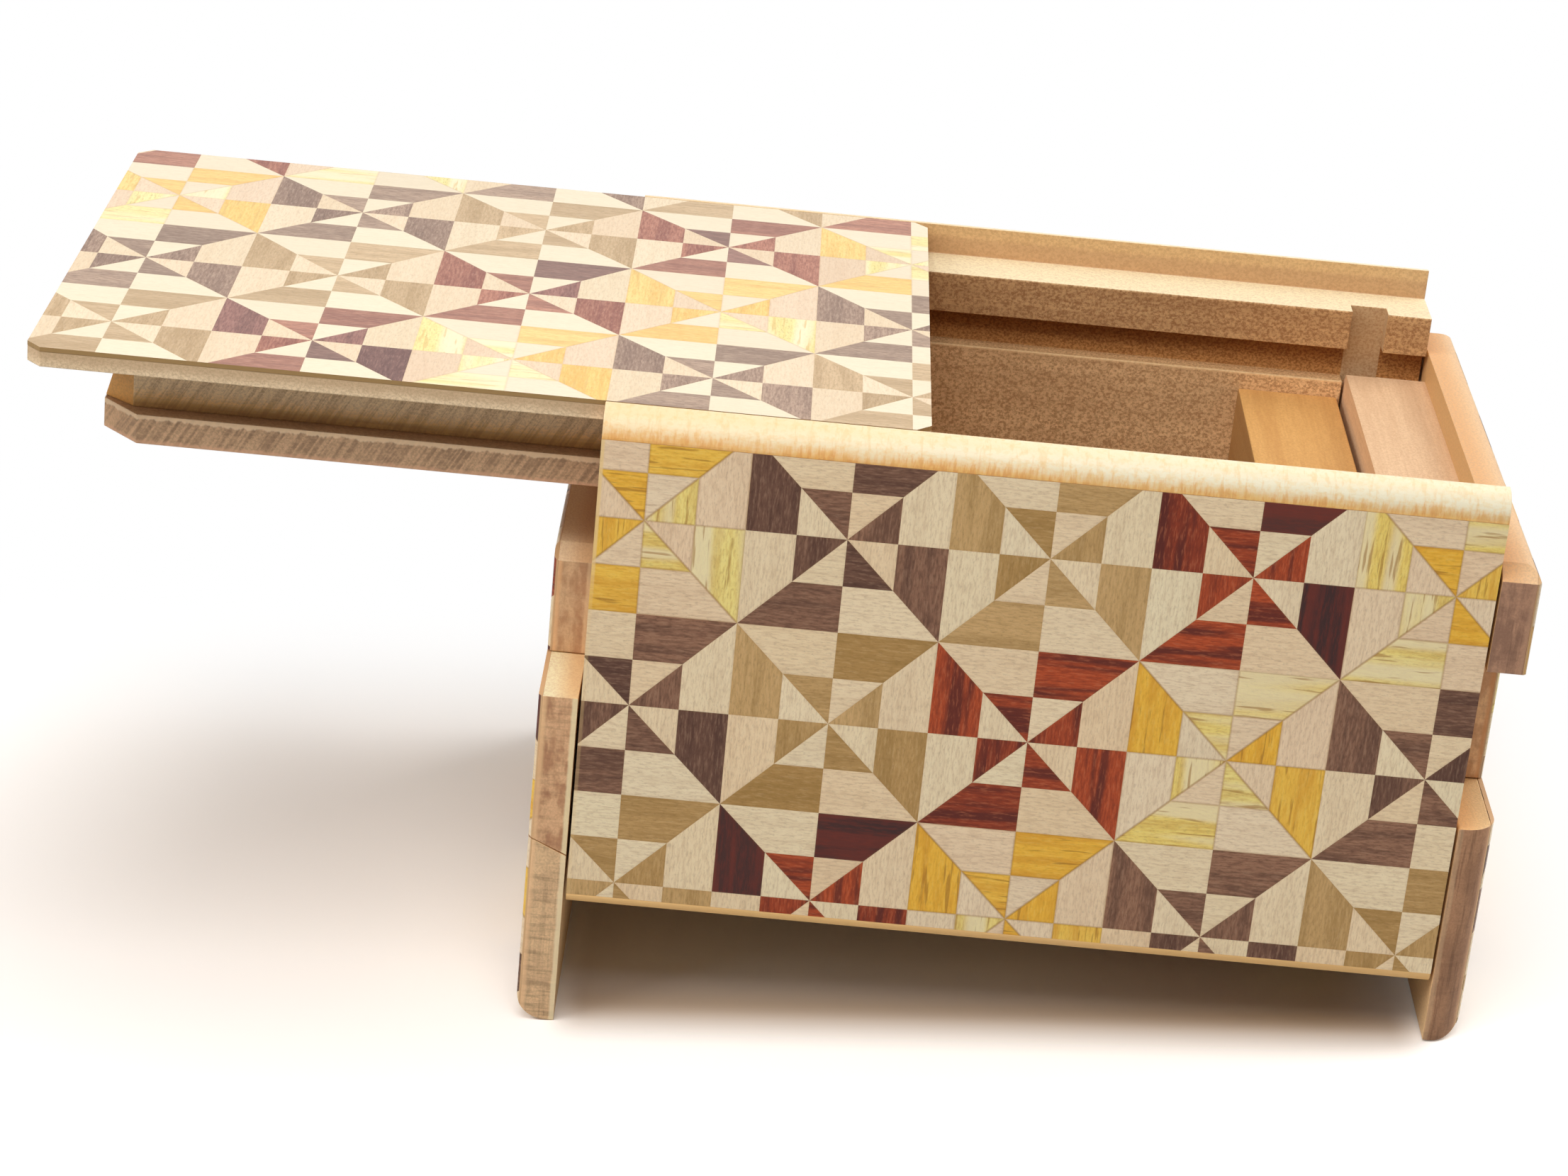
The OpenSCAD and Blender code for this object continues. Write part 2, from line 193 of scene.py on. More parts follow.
class Shader:
    """One node tree under construction, of a material or of the room."""

    def __init__(self, owner: bpy.types.Material | bpy.types.World) -> None:
        """Empties the owner's tree.

        Args:
            owner: The material or the world that the tree belongs to.
        """
        owner.use_nodes = True
        self.owner = owner
        self.tree = owner.node_tree
        self.tree.nodes.clear()

    @classmethod
    def material(cls, name: str) -> "Shader":
        """Returns the start of a material of that name."""
        return cls(bpy.data.materials.new(name))

    def node(
        self, kind: str, settings: dict | None = None, inputs: dict | None = None
    ) -> bpy.types.Node:
        """Adds a node.

        Args:
            kind: The node's type.
            settings: Its settings, which are made first.
            inputs: The value or link of each of its sockets, by name or place.

        Returns:
            The new node.
        """
        made = self.tree.nodes.new(kind)
        for key, value in (settings or {}).items():
            setattr(made, key, value)
        for key, value in (inputs or {}).items():
            self.plug(made.inputs[key], value)
        return made

    def plug(self, socket: bpy.types.NodeSocket, value: object) -> None:
        """Fills a socket.

        Args:
            socket: The socket.
            value: A number or a socket to link to it, or a tone or plain value to write.
        """
        if isinstance(value, Num):
            self.tree.links.new(value.socket, socket)
        elif isinstance(value, bpy.types.NodeSocket):
            self.tree.links.new(value, socket)
        elif isinstance(value, Tone):
            socket.default_value = value.linear()
        else:
            socket.default_value = value

    def split(self, vector: bpy.types.NodeSocket) -> Place:
        """Returns a vector's three numbers."""
        parts = self.node("ShaderNodeSeparateXYZ", inputs={0: vector}).outputs
        return Num(self, parts[0]), Num(self, parts[1]), Num(self, parts[2])

    def join(self, *parts: object) -> bpy.types.NodeSocket:
        """Returns a vector of three numbers."""
        return self.node("ShaderNodeCombineXYZ", inputs=dict(enumerate(parts))).outputs[0]

    def place(self) -> Place:
        """Finds the point in the frame of the box.

        Returns:
            Its three coordinates in millimetres.
        """
        spot = self.node("ShaderNodeTexCoord").outputs["Object"]
        inputs = {0: spot, "Scale": 1 / MM}
        return self.split(
            self.node("ShaderNodeVectorMath", {"operation": "SCALE"}, inputs).outputs[0]
        )

    def facing(self) -> Place:
        """Returns the surface's direction in the frame of the box."""
        return self.split(self.node("ShaderNodeTexCoord").outputs["Normal"])

    def lot(self, *parts: object) -> Num:
        """Returns a number from 0 to 1 drawn by lot for each three whole numbers."""
        made = self.node("ShaderNodeTexWhiteNoise", inputs={"Vector": self.join(*parts)})
        return Num(self, made.outputs["Value"])

    def blend(
        self, share: object, low: bpy.types.Node, high: bpy.types.Node
    ) -> bpy.types.Node:
        """Returns the surface or light that is a share of the way from low to high."""
        inputs = {0: share, 1: low.outputs[0], 2: high.outputs[0]}
        return self.node("ShaderNodeMixShader", inputs=inputs)

    def finish(
        self, colour: Colour, roughness: object, height: Num, depth: float, gloss: float = 0.3
    ) -> bpy.types.Material:
        """Closes the material with one surface.

        Args:
            colour: The base colour.
            roughness: The roughness, a value or a number that varies.
            height: The relief from 0 to 1.
            depth: The relief's depth in millimetres.
            gloss: The strength of the mirror image, the same all over.

        Returns:
            The finished material.
        """
        relief = {"Height": height, "Distance": depth * MM, "Strength": 1.0}
        bump = self.node("ShaderNodeBump", inputs=relief)
        inputs = {"Base Color": colour, "Roughness": roughness, "Normal": bump.outputs[0]}
        surface = self.node("ShaderNodeBsdfPrincipled", inputs=inputs)
        surface.inputs["Specular IOR Level"].default_value = gloss
        self.node("ShaderNodeOutputMaterial", inputs={0: surface.outputs[0]})
        return self.owner


def mix(share: Num, low: Colour, high: Colour, way: Blend = Blend.MIX) -> bpy.types.NodeSocket:
    """Lays one colour over another.

    Args:
        share: How much of the upper colour shows, from 0 to 1.
        low: The lower colour.
        high: The upper colour.
        way: How it is laid on.

    Returns:
        The colour.
    """
    settings = {"data_type": "RGBA", "blend_type": way.value}
    inputs = {0: share, 6: low, 7: high}
    return share.shader.node("ShaderNodeMix", settings, inputs).outputs[2]


@dataclass(frozen=True)
class Figure:
    """A cloudy figure in wood.

    The pitch gives its lumps to a millimetre in each direction, and the levels tell
    between which heights of the clouds its marks set in. The seed sets it apart from
    the other figures of the same piece.
    """

    pitch: tuple[float, float, float]
    detail: float
    rough: float
    levels: tuple[float, float] = (0.0, 1.0)
    seed: float = 0.0

    def clouds(self, *place: Num) -> Num:
        """Lays the clouds.

        Args:
            place: The point's three coordinates.

        Returns:
            A number from 0 to 1, mostly near a half.
        """
        shader = place[0].shader
        vector = shader.join(*(part * pitch for part, pitch in zip(place, self.pitch)))
        inputs = {"Vector": vector, "Scale": 1.0, "Detail": self.detail, "Roughness": self.rough}
        return Num(shader, shader.node("ShaderNodeTexNoise", inputs=inputs).outputs[0])

    def marks(self, *place: Num) -> Num:
        """Returns the marks that the clouds make, from 0 to 1."""
        return self.clouds(*place).rise(*self.levels)


@dataclass(frozen=True)
class Zone:
    """A band between two places, with soft ends outside them."""

    low: float
    high: float
    soft: float = 0.08

    def share(self, place: Num) -> Num:
        """Returns 1 where the place lies in the zone, else 0."""
        inside = place.rise(self.low - self.soft, self.low)
        return inside * (1 - place.rise(self.high, self.high + self.soft))


@dataclass(frozen=True)
class Layout:
    """How the pattern of stars lies on one side of the box.

    The pattern runs across and down from the middle of the first star. Seen from
    outside, across leads to the right. The seeds are for a piece's kind of yellow, its
    kind of red and its shade.
    """

    across: Axis
    across_sign: int
    up: Axis
    up_sign: int
    first_across: float
    first_up: float
    seeds: tuple[float, float, float]

    @property
    def through(self) -> Axis:
        """Returns the direction that the side faces along."""
        return next(axis for axis in Axis if axis not in (self.across, self.up))


class Side(Enum):
    """The sides of the box that carry marquetry."""

    FRONT = Layout(Axis.X, 1, Axis.Z, 1, -53.55, 58.07, (10673616.0, 11055660.0, 1243330.0))
    BACK = Layout(Axis.X, -1, Axis.Z, 1, -53.55, 58.07, (23.0, 123.0, 223.0))
    LID = Layout(Axis.X, 1, Axis.Y, 1, -127.53, 22.19, (11400369.0, 11873016.0, 5754704.0))
    BOTTOM = Layout(Axis.X, 1, Axis.Y, -1, -53.55, 27.05, (41.0, 141.0, 241.0))
    LEFT = Layout(Axis.Y, -1, Axis.Z, 1, -41.0, 58.07, (53.0, 153.0, 253.0))
    RIGHT = Layout(Axis.Y, 1, Axis.Z, 1, -41.0, 58.07, (67.0, 167.0, 267.0))


class Family(Enum):
    """The wood of a tile's coloured pieces, counted along the diagonals."""

    YELLOW = 0
    BROWN = 1
    OLIVE = 2
    RED = 3


@dataclass(frozen=True)
class Wood:
    """A veneer wood: two shades of its body, its streaks, and the strength of its marks."""

    pale: Tone
    dark: Tone
    streak: Tone
    bands: float
    lines: float
    flecks: float
    glints: float = 0.2


@dataclass(frozen=True)
class Palette:
    """The woods of the marquetry and the tints that vary them."""

    light: Wood
    rosy: Tone
    mossy: Tone
    lemon: Wood
    cream: Tone
    golden: Wood
    vein: Tone
    brown: Wood
    olive: Wood
    red: Wood
    purple: Wood
    glue: Tone


FRESH = Palette(
    light=Wood(
        Tone(255, 238, 202), Tone(252, 224, 184), Tone(198, 162, 126), 0.12, 0.28, 0.18, 0.2
    ),
    rosy=Tone(254, 248, 254),
    mossy=Tone(248, 253, 255),
    lemon=Wood(Tone(255, 240, 158), Tone(255, 226, 124), Tone(206, 154, 72), 0.3, 0.3, 0.2),
    cream=Tone(254, 240, 204),
    golden=Wood(Tone(255, 216, 104), Tone(252, 196, 70), Tone(222, 152, 50), 0.5, 0.3, 0.15),
    vein=Tone(168, 112, 44),
    brown=Wood(Tone(160, 118, 94), Tone(112, 80, 66), Tone(72, 45, 38), 0.45, 0.4, 0.3, 0.25),
    olive=Wood(Tone(216, 178, 124), Tone(184, 145, 88), Tone(150, 116, 60), 0.35, 0.25, 0.2),
    red=Wood(Tone(192, 84, 46), Tone(148, 62, 38), Tone(84, 34, 30), 0.85, 0.35, 0.2, 0.3),
    purple=Wood(Tone(90, 50, 44), Tone(58, 36, 36), Tone(130, 54, 42), 0.45, 0.25, 0.0, 0.0),
    glue=Tone(170, 120, 62),
)

# A paler copy of the palette for the lid's top: painted light, standing in for the sheen and the
# strong light from above that wash its colours out.
LID_PAINTED_SHEEN_PALETTE = Palette(
    light=Wood(
        Tone(251, 232, 202), Tone(241, 219, 187), Tone(220, 188, 150), 0.12, 0.24, 0.16, 0.15
    ),
    rosy=Tone(253, 244, 248),
    mossy=Tone(248, 252, 252),
    lemon=Wood(Tone(255, 246, 188), Tone(253, 234, 160), Tone(226, 206, 120), 0.3, 0.25, 0.3),
    cream=Tone(254, 246, 220),
    golden=Wood(Tone(255, 226, 152), Tone(252, 212, 130), Tone(236, 178, 100), 0.4, 0.3, 0.2),
    vein=Tone(226, 190, 120),
    brown=Wood(Tone(192, 163, 143), Tone(156, 130, 115), Tone(122, 97, 86), 0.35, 0.4, 0.35, 0.3),
    olive=Wood(Tone(222, 193, 155), Tone(198, 170, 134), Tone(174, 144, 106), 0.4, 0.3, 0.25),
    red=Wood(Tone(202, 142, 121), Tone(164, 112, 96), Tone(130, 78, 72), 0.5, 0.4, 0.3, 0.25),
    purple=Wood(Tone(174, 126, 116), Tone(122, 92, 86), Tone(98, 70, 68), 0.35, 0.35, 0.3),
    glue=Tone(206, 166, 116),
)


@dataclass(frozen=True)
class Piece:
    """Where a point lies in its tile, and what is known of the piece that it is on.

    Right and up are in tiles from the tile's middle. The family is the number of the
    tile's wood. Coloured is 1 on the coloured pieces, and sideways where the grain runs
    to the side. The last three are drawn by lot: the kind of yellow, the kind of red and
    the shade.
    """

    right: Num
    up: Num
    family: Num
    number: Num
    coloured: Num
    sideways: Num
    yellow: Num
    red: Num
    shade: Num


@dataclass(frozen=True)
class Grain:
    """The marks that run along the grain of a piece, each from 0 to 1."""

    fine: Num
    bands: Num
    lines: Num
    flecks: Num
    glints: Num
    veins: Num
    fades: Num


@dataclass(frozen=True)
class Marquetry:
    """Sheets of stars cut from light and coloured woods, with thin glue lines.

    A tile is a square of eight sectors about its middle. In its inner square every
    second sector is coloured, and in the ring round it the others are. The four
    coloured woods follow each other along the diagonals.

    The shift is how far the sheet stands from its place in the closed box. The drift is
    how far the last row stands beyond its even place. The rubbed border runs down the
    sheet's left edge. The plank is the length and width of wood that the pieces were cut
    from. All are in millimetres.
    """

    side: Side
    palette: Palette
    shift: tuple[float, float] = (0.0, 0.0)
    drift: float = 0.0
    drift_up: tuple[float, float] = (-6.0, 15.0)
    rubbed: float = 0.0
    rubbed_up: tuple[float, float] = (44.0, 54.0)
    glue_width: float = 0.26
    glue: float = 0.58
    # Painted sheen: how strongly the lid's pieces are lightened, and the tones for light and
    # coloured pieces.
    painted_sheen: float = 0.0
    edge: Tone = Tone(220, 180, 136)
    border: Tone = Tone(248, 214, 152)
    painted_sheen_light: Tone = Tone(252, 246, 222)
    painted_sheen_dark: Tone = Tone(255, 240, 214)
    glint: Tone = Tone(255, 240, 210)
    fleck: Tone = Tone(40, 25, 15)
    roughness: float = 0.42
    gloss: float = 0.2
    relief: float = 0.03

    fine: Figure = Figure((0.5, 3.0, 1.0), 2.0, 0.65, (0.45, 0.64))
    glints: tuple[float, float] = (0.34, 0.48)
    plank: tuple[float, float] = (310.0, 170.0)
    bands: Figure = Figure((0.03, 0.42, 1.0), 2.0, 0.6, (0.44, 0.62), 31.0)
    flecks: Figure = Figure((1.2, 3.2, 1.0), 2.0, 0.7, (0.5, 0.68), 63.0)
    veins: Figure = Figure((0.12, 1.4, 1.0), 2.0, 0.5, (0.59, 0.67), 127.0)
    fades: Figure = Figure((0.02, 0.26, 1.0), 1.0, 0.5, (0.42, 0.62), 159.0)

    def make(self, name: str) -> bpy.types.Material:
        """Makes the material for one sheet.

        Args:
            name: The material's name.

        Returns:
            The finished material.
        """
        shader = Shader.material(name)
        spot = shader.place()
        piece = self.piece(spot)
        grain = self.grain(piece)
        colour = mix(piece.coloured, self.light(piece, grain), self.woods(piece, grain))
        # Painted sheen: pieces that do not lie to the side are lightened, the light ones most and
        # the coloured ones a little.
        if self.painted_sheen:
            level = (1 - piece.sideways) * self.painted_sheen
            colour = mix(level * (1 - piece.coloured), colour, self.painted_sheen_light)
            colour = mix(level * piece.coloured * 0.12, colour, self.painted_sheen_dark)

        glue = self.glue_lines(piece)
        strength = piece.family.near(Family.YELLOW.value) * (self.glue * 0.85) + self.glue * 0.15
        colour = mix(glue * strength, colour, self.palette.glue)
        colour = self.edges(spot, colour)
        height = grain.fine * 0.5 - grain.flecks * 0.4 - grain.veins * 0.3 - glue * 0.6
        roughness = grain.fine * 0.2 + (self.roughness - 0.1)
        return shader.finish(colour, roughness, height, self.relief, self.gloss)

    def piece(self, spot: Place) -> Piece:
        """Finds the piece of the pattern at a point.

        Args:
            spot: The point in the frame of the box.

        Returns:
            The piece.
        """
        layout = self.side.value
        right = (spot[layout.across.value] - self.shift[0]) * layout.across_sign
        raised = spot[layout.up.value]
        if self.drift:
            raised = raised - raised.rise(*self.drift_up) * self.drift
        down = layout.first_up - (raised - self.shift[1]) * layout.up_sign
        right, down = (right - layout.first_across) * (1 / TILE), down * (1 / TILE)
        column, row = (right + 0.5).floor(), (down + 0.5).floor()
        right, up = right - column, row - down
        wide, tall = abs(right), abs(up)
        outer = wide.most(tall) > INNER
        turn = up.maths("ARCTAN2", right) * (SECTORS / (2 * math.pi))
        sector = turn.floor().remainder(SECTORS)
        coloured = 1 - abs(sector.remainder(2) - outer)
        number = sector + outer * SECTORS
        family = (column + row).remainder(len(Family))
        lots = (right.shader.lot(column, row, number + seed) for seed in layout.seeds)
        return Piece(right, up, family, number, coloured, wide > tall, *lots)

    def grain(self, piece: Piece) -> Grain:
        """Draws the grain of a piece, which runs out from the star's middle.

        Args:
            piece: The piece, whose lots set where in the wood it was cut.

        Returns:
            The marks along the grain.
        """
        right, up, number = piece.right, piece.up, piece.number
        length, width = self.plank
        along = (right + piece.sideways * (up - right)) * TILE + piece.yellow * length
        cross = (up + piece.sideways * (right - up)) * TILE + piece.shade * width
        fine = self.fine.clouds(along, cross, number)
        lines, glints = fine.rise(*self.fine.levels), 1 - fine.rise(*self.glints)
        bands, flecks, veins, fades = (
            figure.marks(along, cross, number + figure.seed)
            for figure in (self.bands, self.flecks, self.veins, self.fades)
        )
        return Grain(fine, bands, lines, flecks, glints, veins, fades)

    def wood(self, wood: Wood, grain: Grain, shade: Num) -> Colour:
        """Works out the colour of one wood.

        Args:
            wood: The wood.
            grain: The marks along the grain.
            shade: The piece's shade, from pale to dark.

        Returns:
            The colour.
        """
        glint = wood.pale.toward(self.glint, 0.25)
        fleck = wood.streak.toward(self.fleck, 0.35)
        body = mix(shade, wood.pale, wood.dark)
        body = mix(grain.bands * wood.bands, body, wood.streak)
        body = mix(grain.lines * wood.lines, body, wood.streak)
        body = mix(grain.glints * wood.glints, body, glint)
        return mix(grain.flecks * wood.flecks, body, fleck)

    def woods(self, piece: Piece, grain: Grain) -> Colour:
        """Works out the colour of the coloured pieces.

        Args:
            piece: The piece.
            grain: The marks along the grain.

        Returns:
            The colour.
        """
        palette = self.palette
        lemon, golden, brown, olive, red, purple = (
            self.wood(wood, grain, piece.shade)
            for wood in (
                palette.lemon, palette.golden, palette.brown, palette.olive, palette.red,
                palette.purple,
            )
        )
        lemon = mix(grain.fades * 0.7, lemon, palette.cream)
        yellow = mix(piece.yellow > 0.5, lemon, golden)
        colour = mix(grain.veins * 0.6, yellow, palette.vein)
        colour = mix(piece.family.near(Family.BROWN.value), colour, brown)
        colour = mix(piece.family.near(Family.OLIVE.value), colour, olive)
        reds = mix(piece.red > 0.7, red, purple)
        return mix(piece.family.near(Family.RED.value), colour, reds)

    def light(self, piece: Piece, grain: Grain) -> Colour:
        """Works out the colour of the light pieces.

        Args:
            piece: The piece.
            grain: The marks along the grain.

        Returns:
            The colour.
        """
        palette = self.palette
        light = self.wood(palette.light, grain, piece.shade)
        light = mix(piece.yellow * 0.45, light, palette.mossy, Blend.MULTIPLY)
        rosy = piece.family.near(Family.YELLOW.value) * 0.5 + piece.red * 0.3
        return mix(rosy, light, palette.rosy, Blend.MULTIPLY)

    def glue_lines(self, piece: Piece) -> Num:
        """Draws the glue lines, strong along the diagonals and faint along the others.

        Args:
            piece: The piece.

        Returns:
            The glue, from 0 to 1.
        """
        wide, tall = abs(piece.right), abs(piece.up)
        ring = wide.most(tall)
        corner = abs(wide - tall) * math.sqrt(0.5)
        straight = abs(ring - INNER).least(OUTER - ring).least(wide.least(tall))
        strong, faint = (
            1 - (seam * TILE).rise(self.glue_width * 0.1, self.glue_width)
            for seam in (corner, straight)
        )
        return strong.most(faint * 0.7)

    def edges(self, spot: Place, colour: Colour) -> Colour:
        """Paints the sheet's rubbed border and its cut edges.

        Args:
            spot: The point in the frame of the box.
            colour: The colour of the face.

        Returns:
            The colour.
        """
        layout = self.side.value
        if self.rubbed:
            across, up = spot[layout.across.value], spot[layout.up.value]
            inward = across.rise(self.rubbed * 0.6 - HALF_LENGTH, self.rubbed - HALF_LENGTH)
            share = (1 - inward) * (0.2 + 0.6 * up.rise(*self.rubbed_up))
            colour = mix(share, colour, self.border)
        cut = 1 - abs(spot[0].shader.facing()[layout.through.value]).rise(0.4, 0.7)
        return mix(cut, colour, self.edge)


@dataclass(frozen=True)
class Board:
    """What a solid wood shows at a point: its surface, its place and its cut."""

    colour: bpy.types.NodeSocket
    roughness: Num | float
    height: Num
    x: Num
    y: Num
    z: Num
    butt: Num
    grit: Num
    facing: Place

    def level(self, low: float = 0.5) -> Num:
        """Returns 1 on faces that look up, else 0."""
        return self.facing[Axis.Z.value].rise(low, 0.8)

    def steep(self) -> Num:
        """Returns 1 on upright faces, else 0."""
        return 1 - abs(self.facing[Axis.Z.value]).rise(0.5, 0.8)


@dataclass(frozen=True)
class Timber:
    """Solid wood, planed or sawn, with its grain along one axis."""

    face: Tone
    deep: Tone
    end: Tone
    grain: Axis
    streaks: float = 0.5
    speckle: float = 0.5
    roughness: float = 0.55
    relief: float = 0.05

    fibre: Figure = Figure((0.14, 2.2, 2.2), 2.0, 0.6, (0.38, 0.64))
    bands: Figure = Figure((0.012, 0.32, 0.32), 3.0, 0.6, (0.42, 0.62))
    grit: Figure = Figure((2.4, 2.9, 2.9), 3.0, 0.75, (0.4, 0.62))

    def board(self, shader: Shader) -> Board:
        """Lays the plain wood, with end grain where it is cut across.

        Args:
            shader: The material under construction.

        Returns:
            The wood at a point.
        """
        spot = shader.place()
        along = (spot[self.grain.value], *(spot[a.value] for a in Axis if a is not self.grain))
        fibre = self.fibre.clouds(*along)
        bands = self.bands.marks(*along)
        grit = self.grit.marks(*along)
        colour = mix(bands * self.streaks, self.face, self.deep)
        lines = fibre.rise(*self.fibre.levels)
        colour = mix(lines * self.streaks * 0.6, colour, self.deep)
        colour = mix(grit * self.speckle, colour, self.deep)
        facing = shader.facing()
        butt = abs(facing[self.grain.value]).rise(0.45, 0.65)
        colour = mix(butt, colour, mix(grit * 0.26, self.end, self.deep))
        height = fibre * 0.6 + grit * 0.25
        return Board(colour, self.roughness, height, *spot, butt, grit, facing)

    def coat(self, board: Board) -> Board:
        """Returns the wood as it is, which the woods below paint over."""
        return board

    def make(self, name: str) -> bpy.types.Material:
        """Makes the material.

        Args:
            name: The material's name.

        Returns:
            The finished material.
        """
        shader = Shader.material(name)
        board = self.coat(self.board(shader))
        return shader.finish(board.colour, board.roughness, board.height, self.relief)


@dataclass(frozen=True)
class BlockWood(Timber):
    """The blocks' wood, with painted shade on the sides that look along the box."""

    side: Tone = Tone(214, 212, 214)

    def coat(self, board: Board) -> Board:
        """Darkens the sides with painted shade.

        Args:
            board: The plain wood.

        Returns:
            The painted wood.
        """
        # Painted shade on the sides that look along the box.
        share = abs(board.facing[Axis.X.value]).rise(0.5, 0.8)
        colour = mix(share, board.colour, self.side, Blend.MULTIPLY)
        return replace(board, colour=colour)


@dataclass(frozen=True)
class WallWood(Timber):
    """The walls' wood: a rubbed rim above the marquetry, a pale foot, a ledge and a groove.

    The rim is pale above, carries a painted highlight along its rounded edge, and runs down in
    orange spikes onto the marquetry. The ledge's upward face is painted paler, as painted light
    from above, and the groove darker, as painted shade. The zones' heights and depths are those
    of the cuts in the solid.
    """

    rim: Tone = Tone(255, 240, 206)
    # The painted highlight along the rim's rounded edge.
    painted_highlight: Tone = Tone(255, 246, 218)
    warm_left: Tone = Tone(255, 240, 222)
    ember: Tone = Tone(255, 204, 122)
    spike: Tone = Tone(236, 154, 84)
    haze: Tone = Tone(250, 218, 152)
    hair: Tone = Tone(246, 204, 136)
    lip_top: Tone = Tone(238, 200, 146)
    lip_foot: Tone = Tone(219, 178, 132)
    foot: Tone = Tone(252, 206, 140)
    ledge: Tone = Tone(255, 240, 202)
    groove: Tone = Tone(176, 146, 112)
    groove_foot: Tone = Tone(214, 190, 158)
    groove_edge: Tone = Tone(248, 212, 160)
    rail: Tone = Tone(224, 214, 204)
    post: Tone = Tone(206, 176, 136)

    warm_left_x: tuple[float, float] = (-70.0, 30.0)
    rim_z: float = BOX_HEIGHT - 4.0
    foot_z: float = 1.62
    skin_y: float = HALF_DEPTH - 4.0
    lip_y: float = HALF_DEPTH - 3.68
    rail_y: float = 35.1
    ledge_z: Zone = Zone(68.2, 68.7)
    rail_z: Zone = Zone(62.4, 68.2)
    groove_z: Zone = Zone(57.25, 62.4)
    groove_edge_z: Zone = Zone(56.95, 57.25, 0.1)
    groove_fade_z: tuple[float, float] = (57.4, 61.2)
    post_top_z: tuple[float, float] = (68.3, 68.4)
    post_x: Zone = Zone(48.0, 53.4)

    nib: Figure = Figure((1.3, 0.4, 0.3), 3.0, 0.65, (0.42, 0.66))
    wave: Figure = Figure((0.13, 0.3, 0.3), 2.0, 0.5, (0.34, 0.6))
    fuzz: Figure = Figure((1.1, 1.3, 1.6), 3.0, 0.65, (0.45, 0.65))

    def coat(self, board: Board) -> Board:
        """Paints the wall's zones.

        Args:
            board: The plain wood.

        Returns:
            The painted wood, smoother on the rim.
        """
        z, depth = board.z, abs(board.y)
        colour = self.inside(board, depth)
        outside = depth.rise(self.skin_y, self.skin_y + 0.2)
        above = z.rise(self.rim_z - 0.7, self.rim_z - 0.6)
        rim = self.top(board, depth)
        colour = mix(above * outside * (1 - board.butt), colour, rim)
        below = 1 - z.rise(self.foot_z, self.foot_z + 0.04)
        colour = mix(below * outside, colour, self.foot)
        worn = z.rise(self.rim_z, self.rim_z + 1.5) * outside
        return replace(board, colour=colour, roughness=self.roughness - worn * 0.22)

    def top(self, board: Board, depth: Num) -> bpy.types.NodeSocket:
        """Paints the rim, with a painted highlight band along its rounded edge, and the lip
        behind it.

        Args:
            board: The plain wood.
            depth: How far the point is from the box's middle plane.

        Returns:
            The colour, on the whole wall.
        """
        x, z = board.x, board.z
        spot = (x, board.y, z)
        nib = self.nib.clouds(*spot)
        wave = self.wave.clouds(*spot)
        fuzz = self.fuzz.clouds(*spot)
        climb = z - self.rim_z + (0.5 - nib) * 2.0 + (0.5 - wave) * 1.6 + (0.5 - fuzz)
        # Painted highlight: from its orange foot the rim turns to a pale band across its rounded
        # edge, where the light catches it.
        rim = mix(climb.rise(-0.1, 2.3), self.ember, self.painted_highlight)
        drips = nib.rise(*self.nib.levels) * (0.4 + 0.4 * wave.rise(*self.wave.levels))
        rim = mix(drips * (1 - climb.rise(-0.2, 2.0)), rim, self.spike)
        crest = (z + (0.5 - fuzz) * 1.6).rise(BOX_HEIGHT - 1.4, BOX_HEIGHT - 0.2)
        rim = mix(crest, rim, self.rim)
        rim = mix(fuzz.rise(*self.fuzz.levels) * 0.35, rim, self.haze)
        # The rim turns warmer and a little darker towards the left end.
        rim = mix(1 - x.rise(*self.warm_left_x), rim, self.warm_left, Blend.MULTIPLY)
        rim = mix(nib.rise(0.52, 0.66) * 0.35, rim, self.hair)

        high = (z + (nib - 0.5) * 1.2).rise(BOX_HEIGHT - 2.4, BOX_HEIGHT - 1.2)
        lip = mix(high, self.lip_foot, self.lip_top)
        lip = mix(board.grit * 0.3, lip, self.deep)
        return mix(1 - depth.rise(self.lip_y, self.lip_y + 0.08), rim, lip)

    def inside(self, board: Board, depth: Num) -> bpy.types.NodeSocket:
        """Paints the ledge, paler as painted light from above, the rail, the groove, darker as
        painted shade, and the end panels' grooves.

        Args:
            board: The plain wood.
            depth: How far the point is from the box's middle plane.

        Returns:
            The colour, on the outside too.
        """
        z, grit, rail_y = board.z, board.grit, self.rail_y
        # Painted light: the ledge's upward face is paler, standing in for the light that falls on
        # it from above.
        ledge = board.level() * self.ledge_z.share(z)
        colour = mix(ledge * (0.9 - grit * 0.25), board.colour, self.ledge)
        # Painted shade: the groove is darkened, most at its top under the rail, standing in for
        # the shade inside it.
        climb = (z + (grit - 0.5) * 0.8).rise(*self.groove_fade_z)
        shade = mix(climb, self.groove_foot, self.groove)
        groove = self.groove_z.share(z) * depth.rise(rail_y, rail_y + 0.2)
        colour = mix(groove, colour, shade, Blend.MULTIPLY)
        edge = self.groove_edge_z.share(z) * (1 - depth.rise(rail_y + 0.2, rail_y + 0.5))
        colour = mix(edge * 0.6, colour, self.groove_edge)
        rail = self.rail_z.share(z) * (1 - depth.rise(rail_y, rail_y + 0.2))
        colour = mix(rail, colour, self.rail, Blend.MULTIPLY)
        post = self.post_x.share(abs(board.x)) * depth.rise(rail_y + 0.1, rail_y + 0.3)
        wood = mix(grit * 0.5, self.post, self.deep)
        return mix(post * (1 - z.rise(*self.post_top_z)), colour, wood)


